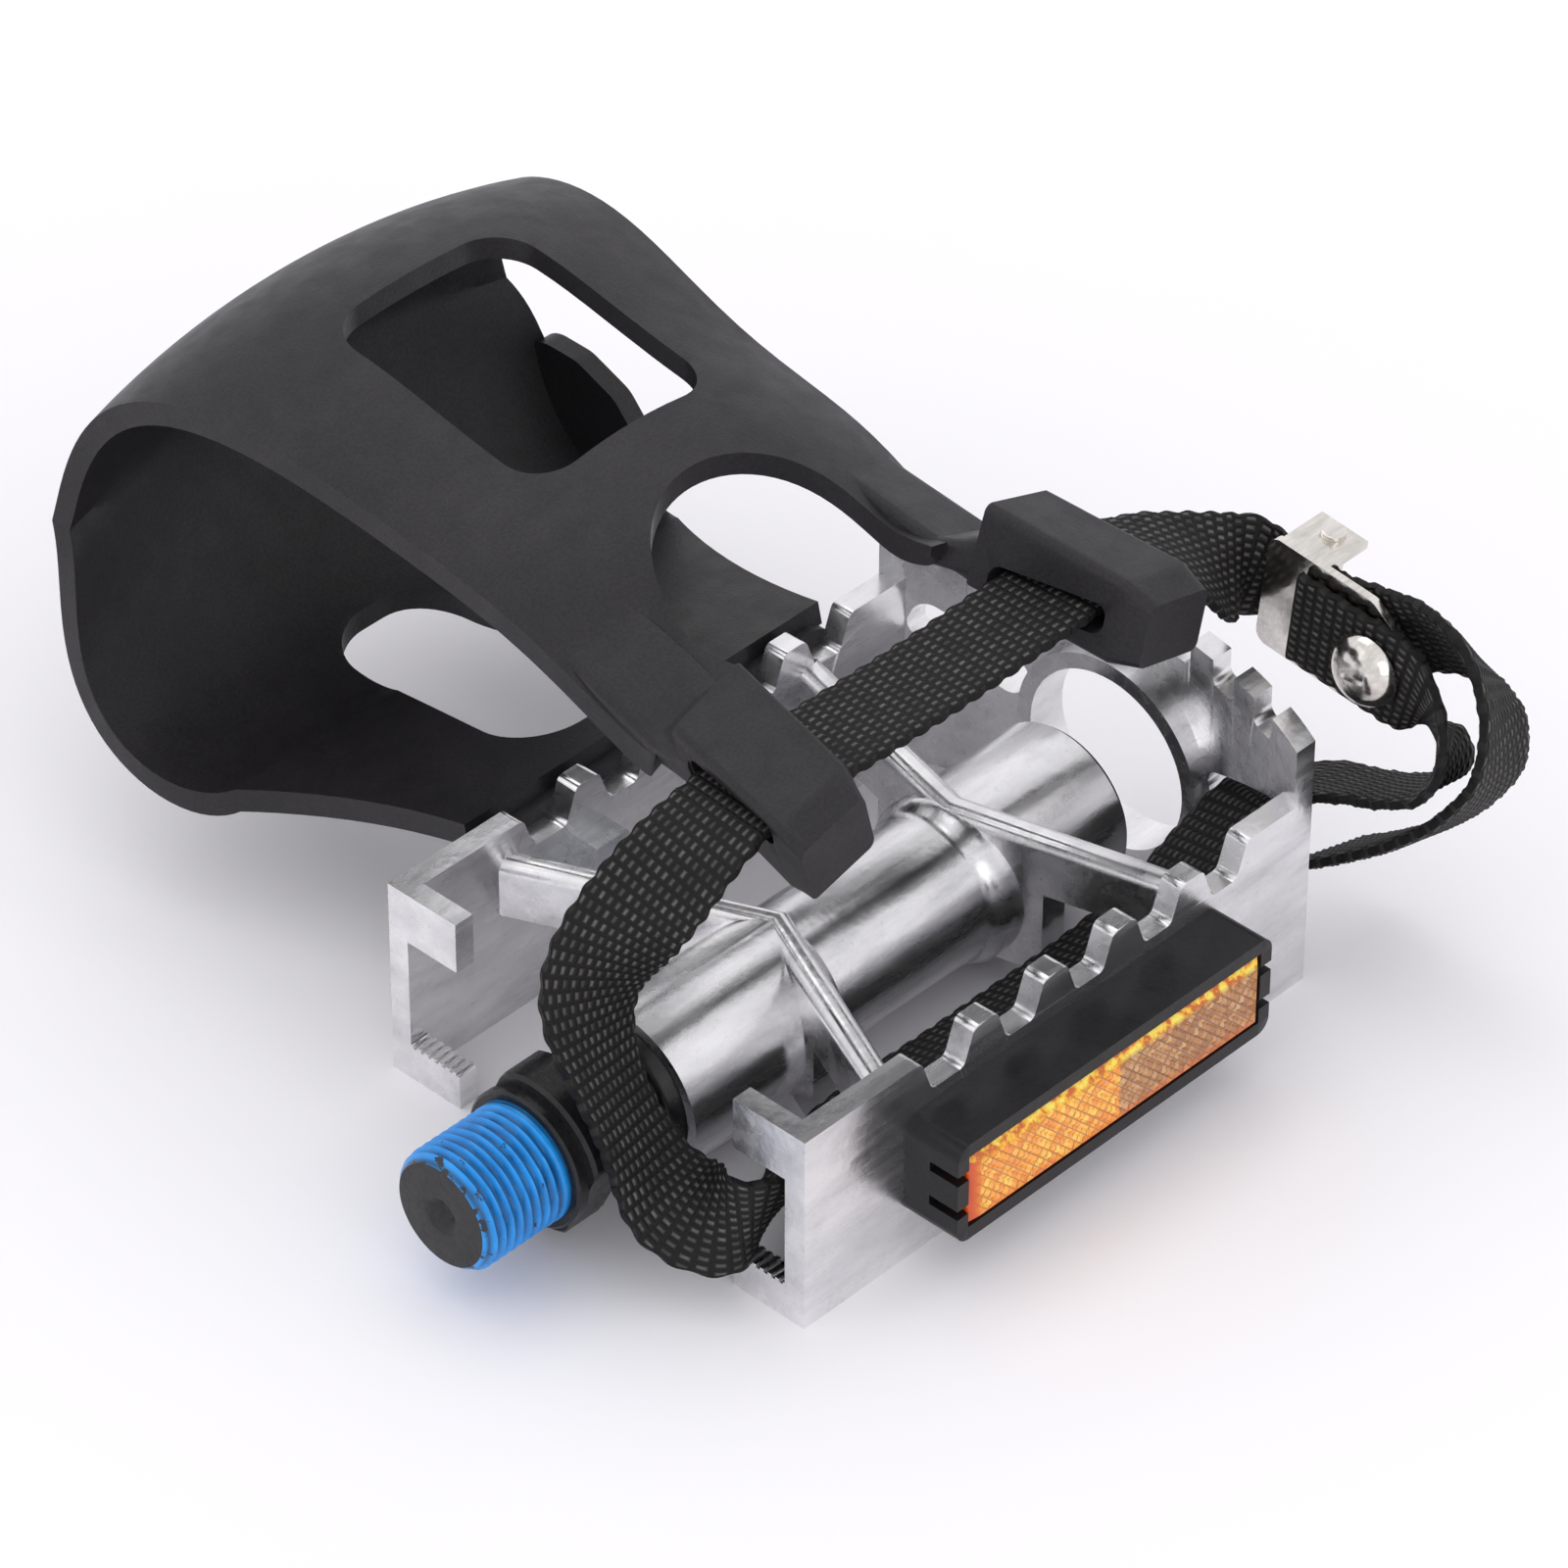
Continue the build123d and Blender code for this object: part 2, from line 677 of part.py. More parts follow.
def run_plane(station):
    """Where one section of the clip stands, square to its run."""
    forward, up, heading = station[:3]
    run = (0, cos(radians(heading)), sin(radians(heading)))
    return Plane((clip_x, forward, up), x_dir=(1, 0, 0), z_dir=run)


# Toe clip: one moulding of bolting flange, sole, toe, top with two arms, and strap loops
with BuildPart() as toe_clip:
    for loop_stations in (arm_stations, block_stations):
        for loop_station in loop_stations:
            with BuildSketch(loop_plane(loop_station)):
                RectangleRounded(loop_station[4], loop_station[5], loop_round)
        loft(ruled=True)
    mirror(about=Plane.YZ.offset(clip_x))
    for first, last in clip_spans:
        for clip_station in clip_stations[first : last + 1]:
            half, fall = clip_station[3:]
            inner = fall + clip_thickness
            with BuildSketch(run_plane(clip_station)):
                with BuildLine():
                    ThreePointArc((-half, -fall), (0, 0), (half, -fall))
                    Line((half, -fall), (half, -inner))
                    ThreePointArc((half, -inner), (0, -clip_thickness), (-half, -inner))
                    Line((-half, -inner), (-half, -fall))
                make_face()
        loft()
    with BuildSketch(Plane.XZ.offset(-cage_half_width)):
        with Locations((clip_x, (flange_top + flange_bottom) / 2)):
            RectangleRounded(
                2 * flange_half_length, flange_top - flange_bottom, flange_round
            )
    extrude(amount=-flange_thickness)
    with BuildSketch(Plane.YZ.offset(side_wall_x)):
        with BuildLine():
            Polyline(*side_wall_outline, close=True)
        make_face()
        fillet(vertices(), side_wall_round)
    extrude(amount=side_wall_thickness)
    with BuildSketch(Plane.XY.offset(parting_z)):
        with Locations((clip_x, window_y)):
            RectangleRounded(window_width, window_length, window_round)
        with Locations((clip_x, fork_y)):
            Circle(fork_r)
        with Locations((clip_x, fork_y - fork_r)):
            Rectangle(2 * fork_r, 2 * fork_r)
    extrude(amount=2 * parting_z, mode=Mode.SUBTRACT)
    with BuildSketch(Plane.XY.offset(cage_bottom)):
        with BuildLine():
            Polyline(
                (clip_x - sole_window_rear, sole_window_y0),
                (clip_x + sole_window_rear, sole_window_y0),
                (clip_x + sole_window_front, sole_window_y1),
                (clip_x - sole_window_front, sole_window_y1),
                close=True,
            )
        make_face()
        fillet(vertices(), 0.9 * sole_window_front)
    extrude(amount=parting_z - cage_bottom, mode=Mode.SUBTRACT)
    with BuildSketch(Plane.YZ):
        with Locations((loop_slot_y, loop_slot_z)):
            RectangleRounded(loop_slot_length, loop_slot_height, 0.4 * loop_slot_height)
    extrude(amount=2 * clip_x, mode=Mode.SUBTRACT)
    with BuildSketch(Plane.XZ.offset(-cage_half_width)):
        with Locations(*bolt_places):
            Circle(bolt_r + slip_gap)
    extrude(amount=-flange_thickness, mode=Mode.SUBTRACT)
save(toe_clip, "toe_clip")

# Bolts, washers and nuts that hold the clip to the front plate
washer_y = cage_half_width + flange_thickness
nut_y = washer_y + clip_washer_thickness
bolt_end = nut_y + clip_nut_height + bolt_proud

with BuildPart() as toe_clip_bolts:
    with BuildSketch(Plane.XZ.offset(-plate_y)):
        with Locations(*bolt_places):
            RegularPolygon(bolt_head_across / 2, 6, major_radius=False)
    extrude(amount=bolt_head_height)
    with BuildSketch(Plane.XZ.offset(-plate_y)):
        with Locations(*bolt_places):
            Circle(bolt_r)
    extrude(amount=plate_y - bolt_end)
save(toe_clip_bolts, "toe_clip_bolts")

with BuildPart() as toe_clip_washers:
    with BuildSketch(Plane.XZ.offset(-washer_y)):
        with Locations(*bolt_places):
            Circle(clip_washer_r)
            Circle(bolt_r + slip_gap, mode=Mode.SUBTRACT)
    extrude(amount=-clip_washer_thickness)
save(toe_clip_washers, "toe_clip_washers")

with BuildPart() as toe_clip_nuts:
    with BuildSketch(Plane.XZ.offset(-nut_y)):
        with Locations(*bolt_places):
            RegularPolygon(bolt_head_across / 2, 6, major_radius=False)
            Circle(bolt_r + seat_gap, mode=Mode.SUBTRACT)
    extrude(amount=-clip_nut_height)
save(toe_clip_nuts, "toe_clip_nuts")


def route_plane(i):
    """Where one section of the strap stands, square to the way it runs there."""
    before = Vector(*strap_route[max(i - 1, 0)][0])
    after = Vector(*strap_route[min(i + 1, len(strap_route) - 1)][0])
    run = (after - before).normalized()
    width = Vector(*strap_route[i][1])
    return Plane(strap_route[i][0], x_dir=width - run * width.dot(run), z_dir=run)


buckle_plane = Plane(
    (buckle_x, buckle_y, buckle_z),
    x_dir=(0, -cos(radians(buckle_tilt)), -sin(radians(buckle_tilt))),
    z_dir=(1, 0, 0),
)

# Strap: one length of webbing, riveted at its start, through the cage, round and up to the
# loops, and back through the buckle to its free end
with BuildPart() as strap:
    for start in range(0, len(strap_route) - 1, 2):
        for i in range(start, min(start + 3, len(strap_route))):
            with BuildSketch(route_plane(i)):
                Rectangle(strap_width, strap_thickness)
        loft(ruled=True)
    with BuildSketch(buckle_plane):
        with Locations((rivet_along, 0)):
            Circle(rivet_r + slip_gap)
    extrude(amount=-3 * strap_thickness, mode=Mode.SUBTRACT)
save(strap, "strap")

# Buckle: a bent sheet with two cheeks, a roller on a pin between them, and a rivet
with BuildPart() as buckle_frame:
    with BuildSketch(buckle_plane):
        with BuildLine():
            Polyline(
                (0, -buckle_height / 2),
                (buckle_length - buckle_tail, -buckle_height / 2),
                (buckle_length, -buckle_height / 4),
                (buckle_length, buckle_height / 4),
                (buckle_length - buckle_tail, buckle_height / 2),
                (0, buckle_height / 2),
                close=True,
            )
        make_face()
        fillet(vertices(), buckle_round)
        with Locations((rivet_along, 0)):
            Circle(rivet_r + seat_gap, mode=Mode.SUBTRACT)
    extrude(amount=buckle_sheet)
    with BuildSketch(buckle_plane):
        with Locations((cheek_start + cheek_length / 2, 0)):
            with GridLocations(1, buckle_height - buckle_sheet, 1, 2):
                Rectangle(cheek_length, buckle_sheet)
    extrude(amount=buckle_sheet + cheek_reach)
    with Locations(buckle_plane):
        with Locations(Pos(roller_along, 0, buckle_sheet + roller_stand) * Rot(90, 0, 0)):
            Cylinder(roller_pin_r + seat_gap, 2 * buckle_height, mode=Mode.SUBTRACT)
save(buckle_frame, "buckle_frame")

with BuildPart() as buckle_rivet:
    with Locations(buckle_plane):
        with Locations((rivet_along, 0, buckle_sheet + rivet_tail_height)):
            Cylinder(
                rivet_tail_r,
                rivet_tail_height,
                align=(Align.CENTER, Align.CENTER, Align.MAX),
            )
        with Locations((rivet_along, 0, buckle_sheet)):
            Cylinder(
                rivet_r,
                buckle_sheet + strap_thickness + strap_lift + seat_gap,
                align=(Align.CENTER, Align.CENTER, Align.MAX),
            )
        with Locations((rivet_along, 0, -strap_thickness - strap_lift - seat_gap)):
            Cone(
                0.55 * rivet_dome_r,
                rivet_dome_r,
                rivet_dome_height,
                align=(Align.CENTER, Align.CENTER, Align.MAX),
            )
save(buckle_rivet, "buckle_rivet")

with BuildPart() as buckle_pin:
    with Locations(buckle_plane):
        with Locations(Pos(roller_along, 0, buckle_sheet + roller_stand) * Rot(90, 0, 0)):
            Cylinder(roller_pin_r, buckle_height)
            with Locations((0, 0, buckle_height / 2)):
                Cylinder(
                    pin_head_r,
                    pin_head_height,
                    align=(Align.CENTER, Align.CENTER, Align.MIN),
                )
            with Locations((0, 0, -buckle_height / 2)):
                Cylinder(
                    pin_head_r,
                    pin_head_height,
                    align=(Align.CENTER, Align.CENTER, Align.MAX),
                )
save(buckle_pin, "buckle_pin")

with BuildPart() as buckle_roller:
    with Locations(buckle_plane):
        with Locations(Pos(roller_along, 0, buckle_sheet + roller_stand) * Rot(90, 0, 0)):
            Cylinder(roller_r, buckle_height - 2 * buckle_sheet - 2 * seal_gap)
            Cylinder(roller_pin_r + roller_gap, 2 * buckle_height, mode=Mode.SUBTRACT)
save(buckle_roller, "buckle_roller")
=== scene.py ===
"""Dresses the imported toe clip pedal: cast cage, moulded clip, woven strap, coated thread and
amber reflector, on a pale floor under soft light. Metres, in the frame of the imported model."""

import math

import bpy
import numpy as np
from mathutils import Matrix, Vector


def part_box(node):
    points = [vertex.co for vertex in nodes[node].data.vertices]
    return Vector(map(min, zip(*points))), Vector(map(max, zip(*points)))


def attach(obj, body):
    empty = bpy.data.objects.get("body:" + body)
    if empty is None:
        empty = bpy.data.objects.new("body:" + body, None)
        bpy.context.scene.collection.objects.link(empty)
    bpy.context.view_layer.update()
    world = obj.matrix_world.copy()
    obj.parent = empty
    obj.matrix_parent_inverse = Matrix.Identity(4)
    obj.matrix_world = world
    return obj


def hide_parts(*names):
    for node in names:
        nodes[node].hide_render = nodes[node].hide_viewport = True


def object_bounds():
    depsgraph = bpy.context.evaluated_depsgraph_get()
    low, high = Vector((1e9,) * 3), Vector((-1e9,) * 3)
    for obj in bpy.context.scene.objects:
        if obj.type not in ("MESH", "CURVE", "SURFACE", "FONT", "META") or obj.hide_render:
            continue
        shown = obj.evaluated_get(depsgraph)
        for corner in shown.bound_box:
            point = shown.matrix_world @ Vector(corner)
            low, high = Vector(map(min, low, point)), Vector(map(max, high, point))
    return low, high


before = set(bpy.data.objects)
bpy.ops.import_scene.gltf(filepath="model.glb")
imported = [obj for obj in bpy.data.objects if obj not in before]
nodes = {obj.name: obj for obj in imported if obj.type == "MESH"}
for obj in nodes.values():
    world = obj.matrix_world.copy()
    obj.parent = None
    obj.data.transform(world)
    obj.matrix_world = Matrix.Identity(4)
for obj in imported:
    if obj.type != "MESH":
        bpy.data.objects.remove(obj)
cad_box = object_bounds()
scene = bpy.context.scene
MM = 0.001

# Sizes in millimetres
row_pitch, bead_pitch = 1.4, 1.0  # the weave along and across the strap
strap_width, strap_thickness, bead_height = 12.0, 1.6, 0.2
thread_pitch, thread_r, thread_depth, thread_end = 1.27, 7.144, 0.62, -12.0


class Paint:
    """A material and short ways to add to its node tree."""

    def __init__(self, name, **sockets):
        self.made = bpy.data.materials.new(name)
        self.made.use_nodes = True
        self.tree = self.made.node_tree
        self.shader = self.tree.nodes["Principled BSDF"]
        self.place = self.node("ShaderNodeTexCoord").outputs["Object"]
        for socket, value in sockets.items():
            self.shader.inputs[socket.replace("_", " ")].default_value = value

    def node(self, kind, **settings):
        made = self.tree.nodes.new(kind)
        for key, value in settings.items():
            setattr(made, key, value)
        return made

    def link(self, start, end):
        self.tree.links.new(start, end)

    def drives(self, output, socket):
        self.link(output, self.shader.inputs[socket])

    def scaled(self, sizes, turn=(0, 0, 0), at=None):
        """Coordinates stretched by the given sizes."""
        made = self.node("ShaderNodeMapping")
        made.inputs["Scale"].default_value = sizes
        made.inputs["Rotation"].default_value = turn
        self.link(at or self.place, made.inputs["Vector"])
        return made.outputs["Vector"]

    def noise(self, scale, detail=4.0, rough=0.55, at=None):
        made = self.node("ShaderNodeTexNoise")
        made.inputs["Scale"].default_value = scale
        made.inputs["Detail"].default_value = detail
        made.inputs["Roughness"].default_value = rough
        self.link(at or self.place, made.inputs["Vector"])
        return made.outputs["Fac"]

    def ramp(self, fac, *stops):
        """A colour, or a grey where a stop is one number, from (place, value) stops."""
        made = self.node("ShaderNodeValToRGB")
        row = made.color_ramp.elements
        while len(row) < len(stops):
            row.new(0.5)
        for element, (place, value) in zip(row, stops):
            element.position = place
            shade = value if isinstance(value, tuple) else (value, value, value)
            element.color = (*shade, 1)
        self.link(fac, made.inputs["Fac"])
        return made.outputs["Color"]

    def mix(self, fac, first, second, blend="MIX"):
        made = self.node("ShaderNodeMix", data_type="RGBA", blend_type=blend)
        for socket, value in ((0, fac), (6, first), (7, second)):
            if isinstance(value, bpy.types.NodeSocket):
                self.link(value, made.inputs[socket])
            elif socket == 0:
                made.inputs[socket].default_value = value
            else:
                made.inputs[socket].default_value = (*value, 1)
        return made.outputs[2]

    def calc(self, first, second, kind):
        """One calculation on two values or sockets."""
        made = self.node("ShaderNodeMath", operation=kind)
        for i, value in enumerate((first, second)):
            if isinstance(value, bpy.types.NodeSocket):
                self.link(value, made.inputs[i])
            else:
                made.inputs[i].default_value = value
        return made.outputs[0]

    def band(self, first, second, steepness, *stops):
        """A ramp over the distance between two values or sockets."""
        apart = self.calc(first, second, "SUBTRACT")
        return self.ramp(self.calc(apart, steepness, "MULTIPLY"), *stops)

    def axes(self, at=None):
        """The X, Y and Z of the coordinates."""
        made = self.node("ShaderNodeSeparateXYZ")
        self.link(at or self.place, made.inputs["Vector"])
        return made.outputs

    def brick(self, at, offset, numbers, greys):
        """A brick pattern with the given numbers and greys on its sockets."""
        made = self.node("ShaderNodeTexBrick", offset=offset, offset_frequency=2, squash=1.0)
        for key, value in numbers.items():
            made.inputs[key].default_value = value
        for key, value in greys.items():
            made.inputs[key].default_value = (value, value, value, 1)
        self.link(at, made.inputs["Vector"])
        return made.outputs

    def bump(self, height, depth, strength=1.0, over=None):
        """A bump of the given depth in metres, over another one if there is one."""
        made = self.node("ShaderNodeBump")
        made.inputs["Strength"].default_value = strength
        made.inputs["Distance"].default_value = depth
        self.link(height, made.inputs["Height"])
        if over:
            self.link(over, made.inputs["Normal"])
        return made.outputs["Normal"]


def cast_aluminium():
    p = Paint("cast_aluminium", Metallic=1.0)
    streak = p.noise(1.0, 5, 0.6, p.scaled((55, 210, 240), (0.2, 0.1, 0.3)))
    cloud = p.noise(120, 5, 0.6)
    grit = p.noise(1500, 3, 0.7)
    tone = p.ramp(
        streak,
        (0.28, (0.60, 0.60, 0.62)),
        (0.42, (0.76, 0.755, 0.77)),
        (0.70, (0.91, 0.905, 0.915)),
    )
    patch = p.ramp(cloud, (0.32, 0.90), (0.46, 0.98), (0.62, 1.0))
    shade = p.mix(1.0, tone, patch, "MULTIPLY")
    speck = p.ramp(grit, (0.28, 0.88), (0.40, 1.0))
    p.drives(p.mix(1.0, shade, speck, "MULTIPLY"), "Base Color")
    polish = p.noise(1.0, 4, 0.6, p.scaled((45, 330, 330)))
    p.drives(p.ramp(polish, (0.32, 0.19), (0.68, 0.34)), "Roughness")
    wave = p.bump(p.noise(150, 3), 0.00022, 0.5)
    p.drives(p.bump(grit, 0.00004, 0.3, wave), "Normal")
    return p.made


def moulded_plastic(name, low, high, grain, rough):
    """Dark plastic with the fine grain of its mould."""
    p = Paint(name, Specular_IOR_Level=0.32)
    cloud = p.noise(70, 4)
    fine = p.noise(grain, 2, 0.5)
    tone = p.ramp(cloud, (0.3, low), (0.7, high))
    fleck = p.ramp(fine, (0.36, 0.80), (0.64, 1.2))
    p.drives(p.mix(1.0, tone, fleck, "MULTIPLY"), "Base Color")
    p.drives(p.ramp(p.noise(300, 3), (0.3, rough - 0.06), (0.7, rough + 0.06)), "Roughness")
    p.drives(p.bump(fine, 0.00006, 0.5), "Normal")
    return p.made


def plated(name, low, high, rough):
    """Plated steel with faint brushing and dull patches."""
    p = Paint(name, Metallic=1.0)
    cloud = p.noise(260, 4)
    brush = p.noise(1.0, 3, 0.6, p.scaled((300, 1500, 1500)))
    tone = p.ramp(cloud, (0.3, low), (0.7, high))
    p.drives(p.mix(1.0, tone, p.ramp(brush, (0.3, 0.78), (0.7, 1.0)), "MULTIPLY"), "Base Color")
    p.drives(p.ramp(p.noise(420, 3), (0.3, rough - 0.08), (0.7, rough + 0.08)), "Roughness")
    p.drives(p.bump(brush, 0.00004, 0.4), "Normal")
    return p.made


def thread_coat():
    """The blue locking patch on the thread, with painted shade in its grooves and a slight painted
    highlight on its crests; chipped mostly near its rim.
    """
    p = Paint("thread_coat", Specular_IOR_Level=0.5)
    axes = p.axes()
    angle = p.calc(axes["Z"], axes["Y"], "ARCTAN2")
    lead = p.calc(axes["X"], 1000 / thread_pitch, "MULTIPLY")
    round_once = p.calc(angle, 1 / (2 * math.pi), "MULTIPLY")
    turn = p.calc(p.calc(lead, round_once, "SUBTRACT"), 1.0, "FLOORED_MODULO")
    # painted shade: the coat is darkened in the thread's grooves, and its crests are lifted a
    # little as a painted highlight
    groove_shade_and_crest_light = p.ramp(
        turn, (0.0, 1.12), (0.20, 1.0), (0.42, 0.36), (0.58, 0.36), (0.80, 1.0), (1.0, 1.12)
    )
    chips = p.noise(1.0, 5, 0.65, p.scaled((900, 520, 520)))
    rim = p.band(axes["X"], thread_end * MM, 500.0, (0.10, 0.14), (0.75, 0.0))
    cloud = p.noise(320, 4)
    blue = p.ramp(cloud, (0.3, (0.004, 0.20, 0.58)), (0.7, (0.010, 0.30, 0.80)))
    bare = p.ramp(p.calc(chips, rim, "ADD"), (0.645, 0.0), (0.68, 1.0))
    coat = p.mix(1.0, blue, groove_shade_and_crest_light, "MULTIPLY")
    p.drives(p.mix(bare, coat, (0.018, 0.018, 0.022)), "Base Color")
    p.drives(p.ramp(cloud, (0.3, 0.26), (0.7, 0.42)), "Roughness")
    p.drives(p.bump(p.noise(900, 3), 0.00008, 0.5), "Normal")
    return p.made


def webbing():
    """Woven black webbing, with a painted sheen on the crown of each bead and painted shade
    between beads. Its coordinates are millimetres across and along the strap.
    """
    p = Paint("webbing", Specular_IOR_Level=0.3)
    spot = p.node("ShaderNodeUVMap", uv_map="weave").outputs["UV"]
    yarn = p.brick(
        spot,
        0.5,
        {
            "Scale": 1.0, "Mortar Size": 0.44, "Mortar Smooth": 1.0, "Bias": 0.0,
            "Brick Width": bead_pitch, "Row Height": row_pitch,
        },
        {"Color1": 1.0, "Color2": 0.35, "Mortar": 0.7},
    )
    # painted light: each bead is lightest at its crown as a painted sheen, and darkest between
    # beads as painted shade
    bead = p.ramp(
        yarn["Fac"],
        (0.0, (0.125, 0.117, 0.113)),
        (0.13, (0.070, 0.064, 0.062)),
        (0.38, (0.018, 0.016, 0.016)),
        (0.75, (0.006, 0.0055, 0.0055)),
    )
    fibre = p.noise(1.0, 3, 0.6, p.scaled((6, 1.8, 1), at=spot))
    wear = p.noise(0.16, 3, 0.6, spot)
    selvage = p.ramp(
        p.calc(p.axes(spot)["X"], 1 / strap_width, "MULTIPLY"),
        (0.0, 0.12), (0.04, 1.0), (0.96, 1.0), (1.0, 0.12),
    )
    lit = p.mix(1.0, p.mix(1.0, bead, yarn["Color"], "MULTIPLY"), selvage, "MULTIPLY")
    tone = p.mix(1.0, lit, p.ramp(fibre, (0.3, 0.6), (0.7, 1.4)), "MULTIPLY")
    p.drives(p.mix(1.0, tone, p.ramp(wear, (0.3, 0.7), (0.7, 1.15)), "MULTIPLY"), "Base Color")
    p.drives(p.ramp(fibre, (0.3, 0.55), (0.7, 0.75)), "Roughness")
    crown = p.bump(p.calc(1.0, yarn["Fac"], "SUBTRACT"), 0.00018, 0.8)
    p.drives(p.bump(fibre, 0.00005, 0.5, crown), "Normal")
    return p.made


def amber(low, high):
    """Amber lens in the given box: bright inboard, duller outboard, a deeper red along its bottom
    and near end, and a painted glint along its top edge.
    """
    p = Paint("amber_lens", Coat_Weight=0.6, Coat_Roughness=0.06)
    axes = p.axes()
    slant = p.node("ShaderNodeCombineXYZ")
    for socket, kind in (("X", "ADD"), ("Y", "SUBTRACT")):
        p.link(p.calc(axes["X"], axes["Z"], kind), slant.inputs[socket])
    cell = p.brick(
        slant.outputs["Vector"],
        0.0,
        {
            "Scale": 1000.0, "Mortar Size": 0.22, "Mortar Smooth": 0.9, "Bias": 0.0,
            "Brick Width": 1.45, "Row Height": 1.45,
        },
        {"Color1": 0.0, "Color2": 1.0, "Mortar": 0.4},
    )
    bright = p.ramp(
        cell["Color"],
        (0.0, (0.86, 0.25, 0.006)),
        (0.5, (0.97, 0.40, 0.018)),
        (1.0, (1.0, 0.62, 0.07)),
    )
    dull = p.ramp(
        cell["Color"],
        (0.0, (0.36, 0.12, 0.02)),
        (0.5, (0.50, 0.21, 0.05)),
        (1.0, (0.64, 0.35, 0.14)),
    )
    line = p.ramp(cell["Fac"], (0.2, 1.0), (0.9, 0.52))
    middle = (low[0] + high[0]) / 2
    side = p.band(axes["X"], middle, 400.0, (0.0, 0.0), (0.2, 1.0))
    foot = p.band(axes["Z"], low[2], 300.0, (0.12, 1.0), (0.55, 0.0))
    near = p.band(axes["X"], low[0], 300.0, (0.15, 1.0), (0.45, 0.0))
    # painted highlight: along the top edge the lens takes a sparkling bright yellow, a painted
    # glint, in place of its own colour
    top_glint_band = p.band(high[2], axes["Z"], 300.0, (0.20, 1.0), (0.32, 0.0))
    tone = p.mix(1.0, p.mix(side, bright, dull), line, "MULTIPLY")
    painted_glint = p.ramp(
        p.noise(900, 2),
        (0.40, (0.62, 0.12, 0.002)),
        (0.50, (1.0, 0.50, 0.01)),
        (0.60, (1.0, 0.80, 0.10)),
    )
    deep = p.mix(near, p.mix(foot, tone, (0.66, 0.10, 0.006)), (0.70, 0.08, 0.003))
    p.drives(p.mix(top_glint_band, deep, painted_glint), "Base Color")
    p.drives(p.ramp(p.noise(700, 2), (0.3, 0.10), (0.7, 0.24)), "Roughness")
    p.drives(p.bump(p.noise(1100, 2), 0.00004, 0.4), "Normal")
    return p.made


def piece(name, points, faces, paints, body, replaced, smooth=True, which=None):
    """A new mesh piece that stands for a CAD node and moves with its body."""
    mesh = bpy.data.meshes.new(name)
    mesh.from_pydata([tuple(q) for q in points], [], faces)
    for paint in paints:
        mesh.materials.append(paint)
    mesh.validate()
    mesh.polygons.foreach_set("use_smooth", [smooth] * len(mesh.polygons))
    if which is not None:
        mesh.polygons.foreach_set("material_index", which)
    made = bpy.data.objects.new(name, mesh)
    scene.collection.objects.link(made)
    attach(made, body)
    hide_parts(replaced)
    return made


def tube_faces(rings, around):
    """Faces between rings of points that run once round an axis, with both ends closed."""
    faces = []
    for i in range(rings - 1):
        for j in range(around):
            k = (j + 1) % around
            a, b = i * around, (i + 1) * around
            faces.append((a + j, a + k, b + k, b + j))
    faces.append(tuple(reversed(range(around))))
    faces.append(tuple((rings - 1) * around + j for j in range(around)))
    return faces


WELD_REACH = 2e-6
BEVEL_FROM = math.radians(32)


def dress(name, paint, edge):
    """Paint for a CAD node, with its edges broken by the given width."""
    made = nodes[name]
    made.data.materials.clear()
    made.data.materials.append(paint)
    made.data.polygons.foreach_set("use_smooth", [True] * len(made.data.polygons))
    weld = made.modifiers.new("weld", "WELD")
    weld.merge_threshold = WELD_REACH
    if edge:
        round_off = made.modifiers.new("edges", "BEVEL")
        round_off.width = edge
        round_off.segments = 2
        round_off.limit_method = "ANGLE"
        round_off.angle_limit = BEVEL_FROM
        round_off.use_clamp_overlap = True
    even = made.modifiers.new("normals", "WEIGHTED_NORMAL")
    even.keep_sharp = True


aluminium = cast_aluminium()
clip_black = moulded_plastic(
    "clip_plastic", (0.0125, 0.0112, 0.0130), (0.0190, 0.0170, 0.0195), 2600, 0.46
)
housing_black = moulded_plastic(
    "housing_plastic", (0.0045, 0.0045, 0.0055), (0.0085, 0.0085, 0.0100), 1800, 0.36
)
seal_black = moulded_plastic(
    "seal_plastic", (0.007, 0.007, 0.008), (0.012, 0.012, 0.013), 1200, 0.30
)
collar_black = moulded_plastic(
    "collar_black", (0.009, 0.009, 0.010), (0.016, 0.016, 0.017), 1500, 0.26
)
end_black = moulded_plastic(
    "end_black", (0.016, 0.015, 0.016), (0.032, 0.030, 0.031), 1400, 0.50
)
zinc = plated("zinc", (0.62, 0.64, 0.68), (0.82, 0.84, 0.87), 0.26)
nickel = plated("nickel", (0.70, 0.67, 0.62), (0.88, 0.85, 0.81), 0.16)
bearing = plated("bearing_steel", (0.42, 0.42, 0.44), (0.62, 0.62, 0.64), 0.22)
blue = thread_coat()
woven = webbing()

for name, paint, edge in (
    ("cage", aluminium, 0.00035),
    ("toe_clip", clip_black, 0.0007),
    ("reflector_housing", housing_black, 0.0006),
    ("reflector_screws", zinc, 0.0003),
    ("toe_clip_bolts", zinc, 0.0003),
    ("toe_clip_washers", zinc, 0.0002),
    ("toe_clip_nuts", zinc, 0.0003),
    ("dust_seal", seal_black, 0.0003),
    ("dust_cap", seal_black, 0.0003),
    ("inboard_balls", bearing, 0.0),
    ("outboard_balls", bearing, 0.0),
    ("inboard_cup", bearing, 0.0),
    ("outboard_cup", bearing, 0.0),
    ("outboard_cone", bearing, 0.0),
    ("lock_washer", zinc, 0.0),
    ("lock_nut", zinc, 0.0003),
    ("buckle_frame", nickel, 0.0002),
    ("buckle_pin", nickel, 0.0002),
    ("buckle_roller", nickel, 0.0),
):
    dress(name, paint, edge)

